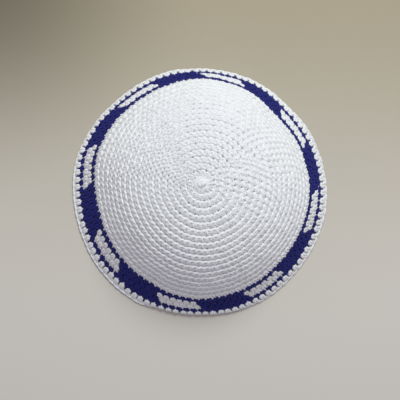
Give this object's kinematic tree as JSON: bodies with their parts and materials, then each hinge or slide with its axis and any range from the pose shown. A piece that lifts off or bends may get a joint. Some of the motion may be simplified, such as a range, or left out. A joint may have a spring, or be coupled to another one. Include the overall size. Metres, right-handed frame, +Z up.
{
  "type": "kippah skullcap",
  "caption": "Crocheted kippah skullcap: a shallow round dome of white cotton with a navy border of slanted white lozenges and a white rope-like edge, open underneath.",
  "frame": {"origin": "centre of the rim's outline, on the surface the rim rests on", "axes": "+Z up through the crown, +Y towards the top of the picture, +X to its right"},
  "size_m": [0.1656, 0.165, 0.052],
  "materials": {
    "white_cotton": "matt crocheted cotton yarn",
    "navy_cotton": "matt crocheted cotton yarn"
  },
  "bodies": {
    "root": {"crown": "white_cotton", "border_band": "navy_cotton", "white_lozenge_1": "white_cotton", "white_lozenge_2": "white_cotton", "white_lozenge_3": "white_cotton", "white_lozenge_4": "white_cotton", "white_lozenge_5": "white_cotton", "white_lozenge_6": "white_cotton", "white_lozenge_7": "white_cotton", "white_lozenge_8": "white_cotton", "edging": "white_cotton"}
  },
  "joints": []
}
